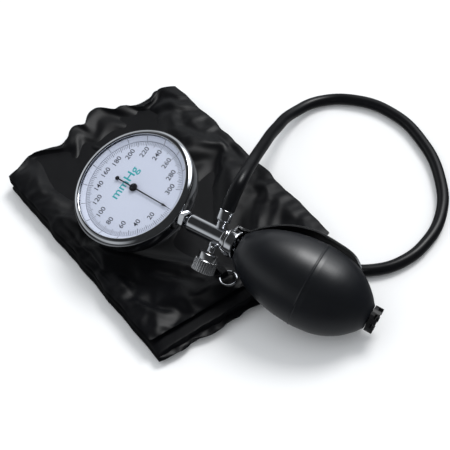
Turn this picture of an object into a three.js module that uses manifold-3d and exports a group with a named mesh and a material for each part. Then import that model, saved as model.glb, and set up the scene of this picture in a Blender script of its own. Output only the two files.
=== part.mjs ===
// Palm-type aneroid blood pressure monitor, laid out as for storage.
//
// Millimetres, +Z up, the object stands on z = 0. The folded arm cuff lies flat,
// the pressure gauge leans on it, the valve body and the rubber bulb run on from
// the gauge's stem, and one hose loops from the valve body back to the cuff.
//
// Local frames: in the gauge group +X leaves the dial towards the stem (six
// o'clock), +Z is the dial's normal. In the valve and bulb groups +X runs along
// the air path, away from the gauge. In the cuff group +X is the band's length.

import * as THREE from 'three';
import { mergeVertices } from 'three/addons/utils/BufferGeometryUtils.js';
import Module from 'manifold-3d';

const wasm = await Module();
wasm.setup();

// ---------------------------------------------------------------- dimensions

const GAP = 0.3; // between pieces that touch

// Placing of the whole object about its base centre.
const GAUGE_CENTRE = new THREE.Vector3(-23.2, -3.9, 42.8);
const UNIT_ROLL = 20.4; // lean of the gauge and valve about their own axis, degrees
const GAUGE_AZIMUTH = -50.5;
const GAUGE_RISE = 2.7;
const VALVE_AZIMUTH = -43.4;
const VALVE_RISE = -2.7;
const BULB_AZIMUTH = -35.3;
const BULB_RISE = -18.2;
const STEM_REACH = 46.5; // dial axis to the valve body's end
const VALVE_REACH = 37; // valve body's end to the bulb's neck

// Gauge.
const CASE_RADIUS = 40.2;
const CASE_WALL = 1.4;
const CASE_BACK = -17.5;
const CASE_RIM = 5;
const CASE_STEP = 3.4;
const BEZEL_RADIUS = 41;
const LIP_RADIUS = 36.4;
const LIP_TOP = 7.8;
const DIAL_RADIUS = 33;
const DIAL_FACE = 3.5;
const POINTER_LENGTH = 30.5;
const POINTER_TAIL = 14.5;
const STEM_RADIUS = 2.6;
const SPIGOT_RADIUS = 2; // the stem's end in the base block

// Movement: a sector of the larger wheel drives the pinion on the pointer's arbor.
const PINION_TEETH = 9;
const WHEEL_TEETH = 90;
const PINION_RADIUS = 1.5;
const WHEEL_RADIUS = PINION_RADIUS * WHEEL_TEETH / PINION_TEETH;
const SECTOR_CENTRE = -(PINION_RADIUS + WHEEL_RADIUS);
const TOP_PLATE = 0.9;
const BOTTOM_PLATE = -4.1;
const PLATE_THICKNESS = 0.9;
const CAPSULE_RADIUS = 16.5;
const CAPSULE_BOTTOM = -13.7;
const CAPSULE_TOP = -9;
const ROCKER_X = -5;
const ROCKER_Z = -6.2;

// Valve body and what screws into it.
const BODY_RADIUS = 5.6;
const BODY_END = 29.2;
const PORT_X = 21; // hose outlet and release valve share this station
const PORT_TURN = 22; // their line, turned from the valve's +Y towards +Z, degrees
const COLLAR_START = 9.5;
const COLLAR_END = 16.6;
const COLLAR_RADIUS = 4.7;
const KNOB_START = 11.6;
const KNOB_STEP = 16;
const KNOB_END = 24.2;
const KNOB_RADIUS = 7.2;
const RING_RADIUS = 8.8;
const ORIFICE_END = 2.8; // bleed hole the release spindle closes

// Palm rest, a curved plate beside the bulb.
const SPOON_TURN = -22; // middle of the plate, from the valve's +Y towards +Z, degrees
const SPOON_THICKNESS = 1.1;

// Bulb.
const BULB_LENGTH = 88;
const BULB_RADIUS = 26.3;
const END_VALVE_RADIUS = 8.2;

// Cuff: a sewn band folded in three.
const CUFF_CENTRE = new THREE.Vector3(-6.3, 5.6, 0);
const CUFF_AZIMUTH = -63.5;
const CUFF_LENGTH = 195;
const CUFF_WIDTH = 136;
const LAYER = 4;
const LAYER_GAP = 1.6;
const HEM_SETBACK = 13;
const PORT_ALONG = 46; // the tube sleeve's place across the band
const PORT_AZIMUTH = -15;
const SLEEVE_END = 9;

// Hose.
const HOSE_DIAMETER = 7.6;
const HOSE_STEPS = 44;
const HOSE_SIDES = 10;

// ----------------------------------------------------------------- materials

function finish(color, roughness, metalness) {
  return () => new THREE.MeshStandardMaterial({ color, roughness, metalness });
}
const chrome = finish(0xd4d8dc, 0.12, 1);
const brass = finish(0xb9985a, 0.35, 1);
const steel = finish(0xa9adb2, 0.3, 1);
const dialWhite = finish(0xe9ebf0, 0.5, 0);
const blackPaint = finish(0x111214, 0.4, 0);
const clear = finish(0xf4f8fa, 0.05, 0);
const rubber = finish(0x1c1d20, 0.6, 0);
const blackPlastic = finish(0x16171a, 0.45, 0);
const nylon = finish(0x15161a, 0.4, 0);
const fleece = finish(0x1b1c20, 0.9, 0);

// ------------------------------------------------------------------- helpers

const rad = THREE.MathUtils.degToRad;

// A copy with only shared positions, no empty triangles, and faces pointing out.
function closed(geometry) {
  const bare = geometry.clone();
  bare.deleteAttribute('normal');
  bare.deleteAttribute('uv');
  const merged = mergeVertices(bare, 1e-4);
  const p = merged.attributes.position;
  const kept = [];
  for (let i = 0; i < merged.index.count; i += 3) {
    const [a, b, c] = [0, 1, 2].map((k) => merged.index.getX(i + k));
    if (a !== b && b !== c && c !== a) kept.push([a, b, c]);
  }
  const corner = [new THREE.Vector3(), new THREE.Vector3(), new THREE.Vector3()];
  let volume = 0;
  for (const triangle of kept) {
    triangle.forEach((v, k) => corner[k].fromBufferAttribute(p, v));
    volume += corner[0].dot(corner[1].clone().cross(corner[2]));
  }
  if (volume < 0) kept.forEach((triangle) => triangle.reverse());
  const result = new THREE.BufferGeometry();
  result.setAttribute('position', p);
  result.setIndex(kept.flat());
  return result;
}

function toSolid(geometry) {
  const g = closed(geometry);
  return new wasm.Manifold(new wasm.Mesh({
    numProp: 3,
    vertProperties: new Float32Array(g.attributes.position.array),
    triVerts: new Uint32Array(g.index.array),
  }));
}

function toGeometry(solid) {
  const mesh = solid.getMesh();
  const g = new THREE.BufferGeometry();
  g.setAttribute('position', new THREE.BufferAttribute(new Float32Array(mesh.vertProperties), 3));
  g.setIndex(new THREE.BufferAttribute(new Uint32Array(mesh.triVerts), 1));
  return g;
}

function cut(geometry, ...tools) {
  return toGeometry(tools.reduce((solid, tool) => solid.subtract(toSolid(tool)), toSolid(geometry)));
}

function join(geometry, ...others) {
  return toGeometry(others.reduce((solid, other) => solid.add(toSolid(other)), toSolid(geometry)));
}

// A turned piece from [radius, height] points, about Z or X.
function turned(profile, segments, axis = 'z') {
  const g = new THREE.LatheGeometry(profile.map(([r, h]) => new THREE.Vector2(r, h)), segments);
  if (axis === 'z') g.rotateX(Math.PI / 2);
  else g.rotateZ(-Math.PI / 2);
  return closed(g);
}

// A turned ring or tube whose section closes on itself.
function ring(profile, segments, axis = 'z') {
  return turned([...profile, profile[0]], segments, axis);
}

function rod(radius, from, to, segments, axis = 'z') {
  return turned([[0, from], [radius, from], [radius, to], [0, to]], segments, axis);
}

function tube(outer, inner, from, to, segments, axis = 'z') {
  return ring([[inner, from], [outer, from], [outer, to], [inner, to]], segments, axis);
}

function block(from, to) {
  const size = to.map((v, i) => v - from[i]);
  const g = new THREE.BoxGeometry(...size);
  g.translate(...from.map((v, i) => v + size[i] / 2));
  return g;
}

// A flat plate of the given outline between two heights.
function plate(shape, from, to, curveSegments = 8) {
  const g = new THREE.ExtrudeGeometry(shape, { depth: to - from, bevelEnabled: false, curveSegments });
  g.translate(0, 0, from);
  return closed(g);
}

function polygon(points) {
  return new THREE.Shape(points.map(([x, y]) => new THREE.Vector2(x, y)));
}

function circleHole(shape, x, y, radius) {
  const hole = new THREE.Path();
  hole.absarc(x, y, radius, 0, 2 * Math.PI, true);
  shape.holes.push(hole);
}

function polar(radius, angle, x = 0, y = 0) {
  return [x + radius * Math.cos(angle), y + radius * Math.sin(angle)];
}

function frameAt(position, azimuth, rise, roll) {
  const group = new THREE.Group();
  group.position.copy(position);
  group.rotation.set(rad(roll), -rad(rise), rad(azimuth), 'ZYX');
  group.updateMatrixWorld();
  return group;
}

function add(group, name, geometry, material) {
  const mesh = new THREE.Mesh(geometry, material());
  mesh.name = name;
  group.add(mesh);
  return mesh;
}

function ahead(group, distance) {
  return group.localToWorld(new THREE.Vector3(distance, 0, 0));
}

// -------------------------------------------------------------------- frames

const monitor = new THREE.Group();
const gauge = frameAt(GAUGE_CENTRE, GAUGE_AZIMUTH, GAUGE_RISE, UNIT_ROLL);
const valve = frameAt(ahead(gauge, STEM_REACH), VALVE_AZIMUTH, VALVE_RISE, UNIT_ROLL);
const bulb = frameAt(ahead(valve, VALVE_REACH), BULB_AZIMUTH, BULB_RISE, UNIT_ROLL);
const cuff = frameAt(CUFF_CENTRE, CUFF_AZIMUTH, 0, 0);
monitor.add(gauge, valve, bulb, cuff);

// ------------------------------------------------------------ gauge: housing

const ROUND = 40;

function caseGeometry() {
  const inner = CASE_RADIUS - 1.5;
  const bowl = turned([
    [0, CASE_BACK], [25, CASE_BACK], [31.5, -15.6], [36.8, -11.2], [39.6, -6.2], [CASE_RADIUS, -3.6],
    [CASE_RADIUS, CASE_STEP], [inner, CASE_STEP], [inner, CASE_RIM], [inner - CASE_WALL, CASE_RIM],
    [inner - CASE_WALL, -3.6], [35.2, -10], [30.4, -14.2], [24.5, CASE_BACK + CASE_WALL],
    [0, CASE_BACK + CASE_WALL],
  ], ROUND);
  return cut(bowl, rod(STEM_RADIUS + 0.5, CASE_RADIUS - 6, CASE_RADIUS + 3, 16, 'x'));
}

function bezelGeometry() {
  const seat = CASE_RADIUS - 1.5 + GAP;
  const skirt = CASE_STEP + GAP;
  return ring([
    [LIP_RADIUS, 6.9], [LIP_RADIUS, LIP_TOP - 0.3], [37.2, LIP_TOP], [38.9, 7.2], [40.3, 6],
    [BEZEL_RADIUS, 4.9], [BEZEL_RADIUS, skirt], [seat, skirt], [seat, 5.4], [38.3, 5.4], [38.3, 6.9],
  ], ROUND);
}

function scaleRingGeometry() {
  return ring([
    [DIAL_RADIUS + GAP, 3], [36.9, 3], [36.9, 4.9], [36.2, 5.4], [DIAL_RADIUS + GAP, DIAL_FACE + 0.2],
  ], ROUND);
}

add(gauge, 'gauge_case', caseGeometry(), chrome);
add(gauge, 'gauge_bezel', bezelGeometry(), chrome);
add(gauge, 'gauge_lens', rod(38, 5.8, 6.6, ROUND), clear);
add(gauge, 'lens_gasket', tube(38, 37.4, 5.3, 5.5, ROUND), rubber);
add(gauge, 'dial_plate', tube(DIAL_RADIUS, 1.5, DIAL_FACE - 0.5, DIAL_FACE, ROUND), dialWhite);
add(gauge, 'scale_ring', scaleRingGeometry(), dialWhite);

// ----------------------------------------------------------- gauge: movement

function needleGeometry() {
  const barb = POINTER_LENGTH - 4.2;
  const outline = polygon([
    [2.6, -0.42], [barb, -0.34], [barb - 1.2, -0.95], [POINTER_LENGTH, 0], [barb - 1.2, 0.95], [barb, 0.34],
    [2.6, 0.42],
  ]);
  const eye = new THREE.Shape();
  eye.absarc(0, 0, 2.7, 0, 2 * Math.PI, false);
  const disc = new THREE.Shape();
  disc.absarc(-POINTER_TAIL, 0, 1.4, 0, 2 * Math.PI, false);
  const tail = polygon([[-POINTER_TAIL, -0.4], [-2, -0.4], [-2, 0.4], [-POINTER_TAIL, 0.4]]);
  const shapes = [outline, eye, tail, disc].map((shape) => plate(shape, 4.4, 4.8, 8));
  return cut(join(...shapes), rod(1.05, 3, 6, 12));
}

// Narrow pointed teeth, so that the pair runs with clearance.
function toothed(count, radius, first, last, tipWidth, rootWidth) {
  const points = [];
  const pitch = 2 * Math.PI / count;
  for (let k = first; k <= last; k += 1) {
    const middle = k * pitch;
    points.push(polar(radius - 0.42, middle - rootWidth * pitch));
    points.push(polar(radius + 0.25, middle - tipWidth * pitch));
    points.push(polar(radius + 0.25, middle + tipWidth * pitch));
    points.push(polar(radius - 0.42, middle + rootWidth * pitch));
  }
  return points;
}

function arborGeometry() {
  const pinion = plate(polygon(toothed(PINION_TEETH, PINION_RADIUS, 0, PINION_TEETH - 1, 0.06, 0.2)), -1.8, 0.4);
  return join(rod(0.8, BOTTOM_PLATE - 0.2, 5.5, 12), pinion);
}

// At rest the wheel's last teeth are in mesh; it turns until the first ones are.
function sectorGeometry() {
  const pitch = 2 * Math.PI / WHEEL_TEETH;
  const low = -9.5 * pitch;
  const high = 1.5 * pitch;
  const rim = [];
  for (let k = 0; k <= 6; k += 1) rim.push(polar(WHEEL_RADIUS - 2.2, high + (low - high) * k / 6));
  const root = WHEEL_RADIUS - 0.42;
  const teeth = toothed(WHEEL_TEETH, WHEEL_RADIUS, -9, 1, 0.06, 0.2);
  const arc = polygon([polar(root, low), ...teeth, polar(root, high), ...rim]);
  const spokes = [low + 0.08, high - 0.08].map((angle) => {
    const [nx, ny] = [-Math.sin(angle) * 0.6, Math.cos(angle) * 0.6];
    const [ex, ey] = polar(WHEEL_RADIUS - 1.4, angle);
    return plate(polygon([[-nx, -ny], [ex - nx, ey - ny], [ex + nx, ey + ny], [nx, ny]]), -1.4, -0.5);
  });
  const back = (low + high) / 2 + Math.PI;
  const tail = plate(polygon([[0, -0.9], polar(4.3, back + 0.2), polar(4.3, back - 0.2), [0, 0.9]]), -1.4, -0.5);
  const body = join(plate(arc, -1.4, -0.5), ...spokes, tail, rod(1.9, -1.6, -0.3, 14));
  const bored = cut(body, rod(1.1, -3, 2, 12));
  bored.translate(SECTOR_CENTRE, 0, 0);
  return bored;
}

function movementPlate(bottom, isBase) {
  const outline = new THREE.Shape();
  outline.absarc(SECTOR_CENTRE, 0, 8, Math.PI / 2, 1.5 * Math.PI, false);
  outline.lineTo(9.5, -10.4);
  outline.lineTo(isBase ? 26.5 : 11.5, -4.2);
  outline.lineTo(isBase ? 26.5 : 11.5, 4.2);
  outline.lineTo(9.5, 10.4);
  circleHole(outline, 0, 0, 1.1);
  circleHole(outline, SECTOR_CENTRE, 0, 1.1);
  if (isBase) {
    circleHole(outline, 23, 0, 1.3);
    const slot = new THREE.Path();
    slot.setFromPoints([[-7.6, 3.2], [-7.6, 6.2], [-3.6, 6.2], [-3.6, 3.2]].map(([x, y]) => new THREE.Vector2(x, y)));
    outline.holes.push(slot);
  }
  return plate(outline, bottom, bottom + PLATE_THICKNESS, 10);
}

function hairspringGeometry() {
  const turns = 2.6;
  const steps = 34;
  const inner = [];
  const outer = [];
  for (let k = 0; k <= steps; k += 1) {
    const angle = turns * 2 * Math.PI * k / steps;
    const radius = 1.5 + 3.9 * k / steps;
    inner.push(polar(radius, angle));
    outer.unshift(polar(radius + 0.25, angle));
  }
  return plate(polygon([...inner, ...outer]), -2.9, -2.3);
}

function capsuleGeometry() {
  const t = 0.45;
  const top = CAPSULE_TOP;
  const bottom = CAPSULE_BOTTOM;
  const ripple = [[14.4, 0], [12.3, -0.7], [10, 0], [7.8, -0.7], [5.6, 0], [3.4, 0]];
  const over = ripple.map(([r, dz]) => [r, top + dz]);
  const under = ripple.map(([r, dz]) => [r, top + dz - t]).reverse();
  return ring([
    [1.4, bottom], [12, bottom], [CAPSULE_RADIUS, bottom + 2], [CAPSULE_RADIUS, top - 1.6], ...over, [0, top],
    [0, top - t], ...under, [CAPSULE_RADIUS - t, top - 2], [CAPSULE_RADIUS - t, bottom + 2.3],
    [11.8, bottom + t], [1.4, bottom + t],
  ], 28);
}

function rockerGeometry() {
  const shaft = rod(1.1, -6.6, 6.6, 12, 'x').rotateZ(Math.PI / 2);
  shaft.translate(ROCKER_X, 0, ROCKER_Z);
  const pad = block([ROCKER_X, -1.2, ROCKER_Z - 0.35], [1.2, 1.2, ROCKER_Z + 0.55]);
  const finger = block([ROCKER_X - 0.7, 4, ROCKER_Z], [ROCKER_X + 0.7, 5.4, BOTTOM_PLATE + 2.3]);
  return join(shaft, pad, finger);
}

function rockerLug(y) {
  const lug = block([ROCKER_X - 2.2, y - 0.7, ROCKER_Z - 1.9], [ROCKER_X + 2.2, y + 0.7, BOTTOM_PLATE - GAP]);
  const bore = rod(1.3, -12, 12, 12, 'x').rotateZ(Math.PI / 2);
  bore.translate(ROCKER_X, 0, ROCKER_Z);
  return cut(lug, bore);
}

function baseBlockGeometry() {
  const side = polygon([
    [-5, -15.7], [23, -15.7], [32.5, -9.4], [35.6, -4], [36.4, -3.2], [36.4, 2.7], [28, 2.7], [28, -4.4],
    [17.4, -4.4], [17.4, -14], [-5, -14],
  ]);
  const body = plate(side, -4.6, 4.6);
  body.rotateX(Math.PI / 2);
  const port = rod(1.4, -16.5, -13, 12);
  const socket = rod(SPIGOT_RADIUS + GAP, 31, 38, 16, 'x');
  const tapping = rod(1.3, -8.3, -4, 12);
  tapping.translate(23, 0, 0);
  return cut(body, port, socket, tapping);
}

add(gauge, 'pointer', needleGeometry(), blackPaint);
add(gauge, 'pointer_hub', tube(2.2, 1.05, 5.1, 5.5, 16), blackPaint);
add(gauge, 'pointer_arbor', arborGeometry(), steel);
add(gauge, 'sector_gear', sectorGeometry(), brass);
const sectorArbor = rod(0.8, -4.9, 2.4, 12);
sectorArbor.translate(SECTOR_CENTRE, 0, 0);
add(gauge, 'sector_arbor', sectorArbor, steel);
add(gauge, 'movement_top_plate', movementPlate(TOP_PLATE, false), brass);
add(gauge, 'movement_bottom_plate', movementPlate(BOTTOM_PLATE, true), brass);
const PILLARS = { a: [7.5, 8.4], b: [7.5, -8.4], c: [-22.5, 0] };
for (const [letter, [x, y]] of Object.entries(PILLARS)) {
  const pillar = rod(1.3, BOTTOM_PLATE + PLATE_THICKNESS + GAP, TOP_PLATE - GAP, 10);
  pillar.translate(x, y, 0);
  add(gauge, `movement_pillar_${letter}`, pillar, brass);
}
add(gauge, 'hairspring', hairspringGeometry(), steel);
add(gauge, 'capsule', capsuleGeometry(), brass);
add(gauge, 'capsule_stud', turned([[0, -8.7], [2.6, -8.7], [2.6, -8], [1.1, -8], [1.1, -6.9], [0, -6.9]], 14), steel);
add(gauge, 'rocker_shaft', rockerGeometry(), steel);
add(gauge, 'rocker_lug_a', rockerLug(2.3), brass);
add(gauge, 'rocker_lug_b', rockerLug(-5.6), brass);
add(gauge, 'base_block', baseBlockGeometry(), brass);
const plateScrew = turned([[0, -8], [1, -8], [1, -2.9], [2.1, -2.9], [2.1, -1.9], [0, -1.9]], 12);
plateScrew.translate(23, 0, 0);
add(gauge, 'plate_screw', plateScrew, steel);

// --------------------------------------------------------------- gauge: stem

function hexNut(acrossFlats, bore, from, to) {
  const corner = acrossFlats / Math.sqrt(3);
  const outline = polygon([0, 1, 2, 3, 4, 5].map((k) => polar(corner, k * Math.PI / 3)));
  circleHole(outline, 0, 0, bore);
  return plate(outline, from, to, 14).rotateY(Math.PI / 2);
}

add(gauge, 'gauge_stem', ring([
  [1, 31.4], [SPIGOT_RADIUS, 31.4], [SPIGOT_RADIUS, 36.8], [STEM_RADIUS, 37.2], [STEM_RADIUS, STEM_REACH + 2],
  [1, STEM_REACH + 2],
], 16, 'x'), chrome);
add(gauge, 'stem_nut', hexNut(10, STEM_RADIUS + GAP, CASE_RADIUS + 1.6, STEM_REACH - 1), chrome);

// ---------------------------------------------------------------- valve body

// Turns a piece made along +X onto the line of the hose outlet (side 1) or of
// the release valve (side -1).
function onPort(geometry, side) {
  geometry.rotateZ(side * Math.PI / 2);
  geometry.rotateX(rad(PORT_TURN));
  geometry.translate(PORT_X, 0, 0);
  return geometry;
}

function valveBodyGeometry() {
  const body = ring([
    [3.3, 0.5], [4.4, 0.5], [BODY_RADIUS, 1.8], [BODY_RADIUS, 26.6], [6.8, 26.8], [6.8, BODY_END],
    [3.2, BODY_END], [3.2, 24.4], [1.5, 23.4], [1.5, 5.4], [3.3, 4.4],
  ], 28, 'x');
  const outlet = onPort(rod(2.3, 0, 8, 14, 'x'), 1);
  const release = onPort(rod(2.3, ORIFICE_END, 8, 14, 'x'), -1);
  return cut(body, outlet, release, onPort(rod(0.9, 0, 4, 12, 'x'), -1));
}

function hoseBarbGeometry() {
  const barb = ring([
    [1.2, 3.4], [2, 3.4], [2, 5.9], [3, 5.9], [3, COLLAR_START - GAP], [2.6, COLLAR_START - GAP], [2.6, COLLAR_END],
    [1.2, COLLAR_END],
  ], 18, 'x');
  return onPort(barb, 1);
}

function collarGeometry() {
  return onPort(ring([
    [2.9, COLLAR_START], [4.4, COLLAR_START], [COLLAR_RADIUS, COLLAR_START + 0.7],
    [COLLAR_RADIUS, COLLAR_END - 0.5], [4.6, COLLAR_END], [2.9, COLLAR_END],
  ], 20, 'x'), 1);
}

function glandGeometry() {
  return onPort(ring([
    [1.5, 3.4], [2, 3.4], [2, 5.9], [2.9, 5.9], [2.9, 7.2], [2.6, 7.4], [2.6, 10.9], [1.5, 10.9], [1.5, 8.6],
    [2.2, 8.6], [2.2, 7.1], [1.5, 7.1],
  ], 18, 'x'), -1);
}

function knobGeometry() {
  const knurl = [];
  const ridges = 24;
  for (let k = 0; k < ridges * 2; k += 1) {
    knurl.push(polar(KNOB_RADIUS - (k % 2) * 0.45, k * Math.PI / ridges));
  }
  const grip = plate(polygon(knurl), KNOB_STEP, KNOB_END - 0.6).rotateY(Math.PI / 2);
  const neck = turned([[0, KNOB_START], [5.6, KNOB_START], [6, KNOB_START + 0.5], [6, KNOB_STEP + 0.2],
    [0, KNOB_STEP + 0.2]], 24, 'x');
  const face = turned([[0, KNOB_END - 1], [KNOB_RADIUS - 0.5, KNOB_END - 1], [KNOB_RADIUS - 1.2, KNOB_END],
    [0, KNOB_END]], 24, 'x');
  const socket = rod(1.45, KNOB_START - 1, KNOB_START + 3.2, 12, 'x');
  return onPort(cut(join(grip, neck, face), socket), -1);
}

function spindleGeometry() {
  return onPort(turned([
    [0, 1.7], [1.15, 3.5], [1.15, KNOB_START + 2.8], [0, KNOB_START + 2.8],
  ], 12, 'x'), -1);
}

add(valve, 'valve_body', valveBodyGeometry(), chrome);
add(valve, 'hose_barb', hoseBarbGeometry(), chrome);
add(valve, 'barb_collar', collarGeometry(), chrome);
add(valve, 'release_gland', glandGeometry(), chrome);
add(valve, 'release_o_ring', onPort(tube(1.95, 1.4, 7.4, 8.3, 14, 'x'), -1), rubber);
add(valve, 'release_spindle', spindleGeometry(), brass);
add(valve, 'release_knob', knobGeometry(), chrome);

// Threaded spigot that clamps the palm rest, with the tube that enters the bulb.
function connectorGeometry() {
  return ring([
    [1.5, 27.4], [2.9, 27.4], [2.9, 30.9], [6.7, 30.9], [6.7, 32.6], [2.5, 32.6], [2.5, 42], [1.5, 42],
  ], 18, 'x');
}

add(valve, 'bulb_connector', connectorGeometry(), chrome);
add(valve, 'connector_ring', ring([
  [7, 30.9], [8.3, 30.9], [RING_RADIUS, 31.5], [RING_RADIUS, 36.2], [8.4, 36.8], [7, 36.8],
], 28, 'x'), chrome);
const outletBall = new THREE.SphereGeometry(1.9, 12, 8);
outletBall.translate(25.8, 0, 0);
add(valve, 'outlet_ball', closed(outletBall), rubber);

// ----------------------------------------------------------------- palm rest

// Station along the valve's axis, radius about the bulb's axis, width round the curve.
const SPOON_STATIONS = [
  [33.5, 10.6, 9.2], [36.6, 11.1, 9], [39, 11.7, 8.8], [41.5, 14.1, 9.4], [44.2, 16.8, 11], [47.9, 19.8, 14.5],
  [52.7, 23.2, 19.5], [57.9, 26, 24], [63.3, 28.1, 27.5], [69, 29.7, 30], [75, 30.6, 31.6], [81.4, 30.5, 32.4],
  [87, 30.1, 32.2], [91, 29.8, 30.8], [94, 29.4, 27.6], [96.2, 28.9, 22.6], [97.6, 28.5, 16], [98.4, 28.2, 7],
];
const SPOON_RIM_TURN = 14; // the upper rim, from the valve's +Y towards +Z, degrees
const SPOON_FULL = 32.4;
const SPOON_FLARE = 2.6; // the lower rim stands further out than the upper one
const SPOON_WIDEST = 85; // beyond this station the plate narrows from both rims

const valveToBulb = new THREE.Matrix4().copy(valve.matrixWorld).invert().multiply(bulb.matrixWorld);
const bulbSlope = new THREE.Vector3().setFromMatrixColumn(valveToBulb, 0);

// The plate curves about the bulb, whose axis sags away from the valve's.
function spoonPoint(station, radius, width, across, depth) {
  const beyond = Math.max(0, station - VALVE_REACH) / bulbSlope.x;
  const drop = station > SPOON_WIDEST ? (SPOON_FULL - width) / 2 : 0;
  const angle = rad(SPOON_RIM_TURN) - (drop + across * width) / radius;
  return [station, ...polar(radius + SPOON_FLARE * across - depth, angle, bulbSlope.y * beyond, bulbSlope.z * beyond)];
}

function spoonPlate() {
  const columns = 8;
  const positions = [];
  for (const depth of [SPOON_THICKNESS, 0]) {
    for (const [station, radius, width] of SPOON_STATIONS) {
      for (let c = 0; c <= columns; c += 1) {
        positions.push(...spoonPoint(station, radius, width, c / columns, depth));
      }
    }
  }
  const rows = SPOON_STATIONS.length;
  const layer = rows * (columns + 1);
  const at = (side, row, column) => side * layer + row * (columns + 1) + column;
  const index = [];
  const quad = (a, b, c, d) => index.push(a, b, c, a, c, d);
  for (let row = 0; row < rows - 1; row += 1) {
    for (let c = 0; c < columns; c += 1) {
      quad(at(1, row, c), at(1, row + 1, c), at(1, row + 1, c + 1), at(1, row, c + 1));
      quad(at(0, row, c), at(0, row, c + 1), at(0, row + 1, c + 1), at(0, row + 1, c));
    }
    quad(at(0, row, 0), at(0, row + 1, 0), at(1, row + 1, 0), at(1, row, 0));
    quad(at(0, row, columns), at(1, row, columns), at(1, row + 1, columns), at(0, row + 1, columns));
  }
  for (let c = 0; c < columns; c += 1) {
    quad(at(0, 0, c), at(1, 0, c), at(1, 0, c + 1), at(0, 0, c + 1));
    quad(at(0, rows - 1, c), at(0, rows - 1, c + 1), at(1, rows - 1, c + 1), at(1, rows - 1, c));
  }
  const g = new THREE.BufferGeometry();
  g.setAttribute('position', new THREE.Float32BufferAttribute(positions, 3));
  g.setIndex(index);
  return closed(g);
}

function spoonGeometry() {
  const washer = tube(8.2, 3.2, BODY_END + GAP, BODY_END + GAP + SPOON_THICKNESS, 24, 'x');
  const arm = block([BODY_END + GAP, 6, -4.6], [BODY_END + GAP + SPOON_THICKNESS, 10.3, 4.6]);
  const strap = block([BODY_END + GAP, 9.2, -4.6], [35.2, 10.3, 4.6]);
  arm.rotateX(rad(SPOON_TURN));
  strap.rotateX(rad(SPOON_TURN));
  return join(spoonPlate(), washer, arm, strap);
}

add(valve, 'spoon', spoonGeometry(), chrome);

// ---------------------------------------------------------------------- bulb

const BULB_PROFILE = [
  [9.6, 1.6], [12.3, 4], [15.8, 8.6], [19.6, 15.4], [22.9, 24.5], [25.3, 35], [BULB_RADIUS, 46], [BULB_RADIUS, 54],
  [25, 62], [22.4, 70], [18.4, 77], [13.2, 83], [8.6, 86.6], [7.4, BULB_LENGTH],
];

const BULB_HOLLOW = [
  [9, 7.5], [13, 10.5], [16.8, 17], [20.2, 26], [22.7, 36.5], [23.7, 47], [23.7, 54], [22.4, 61.4], [19.9, 68.6],
  [15.8, 75.4], [11, 79.6], [6, 81],
];

function bulbGeometry() {
  const outside = turned([[0, 1], ...BULB_PROFILE, [0, BULB_LENGTH]], 32, 'x');
  const inside = turned([[0, 7.5], ...BULB_HOLLOW, [0, 81]], 24, 'x');
  const endBore = rod(5.1, 78, BULB_LENGTH + 2, 18, 'x');
  const neckBore = rod(4.7, -1, 12, 18, 'x');
  const toValve = new THREE.Matrix4().copy(bulb.matrixWorld).invert().multiply(valve.matrixWorld);
  const sleeve = rod(6.6, 33, VALVE_REACH + 5, 24, 'x').applyMatrix4(toValve);
  const sleeveBore = rod(2.9, 30, VALVE_REACH + 8, 18, 'x').applyMatrix4(toValve);
  const ringRoom = rod(RING_RADIUS + GAP, 30, 36.8 + GAP, 28, 'x').applyMatrix4(toValve);
  const trimmed = cut(outside, ringRoom);
  return cut(join(trimmed, sleeve), inside, endBore, neckBore, sleeveBore);
}

function endValveGeometry() {
  const stub = BULB_LENGTH + GAP;
  const body = ring([
    [2.4, 80], [4.8, 80], [4.8, stub], [END_VALVE_RADIUS, stub], [END_VALVE_RADIUS, 93.4], [6, 93.4],
    [6, 90.4], [2, 90.4], [2, 89.6], [3.4, 88.2], [3.4, 82], [2.4, 81.2],
  ], 24, 'x');
  const slots = [0, 1, 2, 3].map((k) => {
    const slot = block([90.6, -1.5, -12], [95, 1.5, 12]);
    slot.rotateX(k * Math.PI / 4);
    return slot;
  });
  return cut(body, ...slots);
}

function inletCoverGeometry() {
  const cover = new THREE.Shape();
  cover.absarc(0, 0, 5.6, 0, 2 * Math.PI, false);
  for (let k = 0; k < 5; k += 1) circleHole(cover, ...polar(2.6, k * 2 * Math.PI / 5), 0.8);
  return plate(cover, 90.8, 91.8, 10).rotateY(Math.PI / 2);
}

add(bulb, 'bulb', bulbGeometry(), rubber);
add(bulb, 'end_valve_body', endValveGeometry(), blackPlastic);
add(bulb, 'inlet_cover', inletCoverGeometry(), blackPlastic);
const inletBall = new THREE.SphereGeometry(2.9, 12, 8);
inletBall.translate(87.1, 0, 0);
add(bulb, 'inlet_ball', closed(inletBall), steel);

// ---------------------------------------------------------------------- cuff

const PITCH = LAYER + LAYER_GAP;
const CUFF_HALF = CUFF_LENGTH / 2;

// Side outline of the band: three runs joined by two round folds.
function bandOutline() {
  const reach = CUFF_HALF - (PITCH + LAYER) / 2;
  const outerR = (PITCH + LAYER) / 2;
  const innerR = LAYER_GAP / 2;
  const shape = new THREE.Shape();
  shape.moveTo(-CUFF_HALF + 3, 0);
  shape.lineTo(reach, 0);
  shape.absarc(reach, outerR, outerR, -Math.PI / 2, Math.PI / 2, false);
  shape.lineTo(-reach, 2 * outerR);
  shape.absarc(-reach, LAYER + PITCH + innerR, innerR, 1.5 * Math.PI, Math.PI / 2, true);
  shape.lineTo(CUFF_HALF - HEM_SETBACK, 2 * PITCH);
  shape.lineTo(CUFF_HALF - HEM_SETBACK, 2 * PITCH + LAYER);
  shape.lineTo(-reach, 2 * PITCH + LAYER);
  shape.absarc(-reach, PITCH + outerR, outerR, Math.PI / 2, 1.5 * Math.PI, false);
  shape.lineTo(reach, PITCH);
  shape.absarc(reach, LAYER + innerR, innerR, Math.PI / 2, -Math.PI / 2, true);
  shape.lineTo(-CUFF_HALF + 3, LAYER);
  return shape;
}

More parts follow.
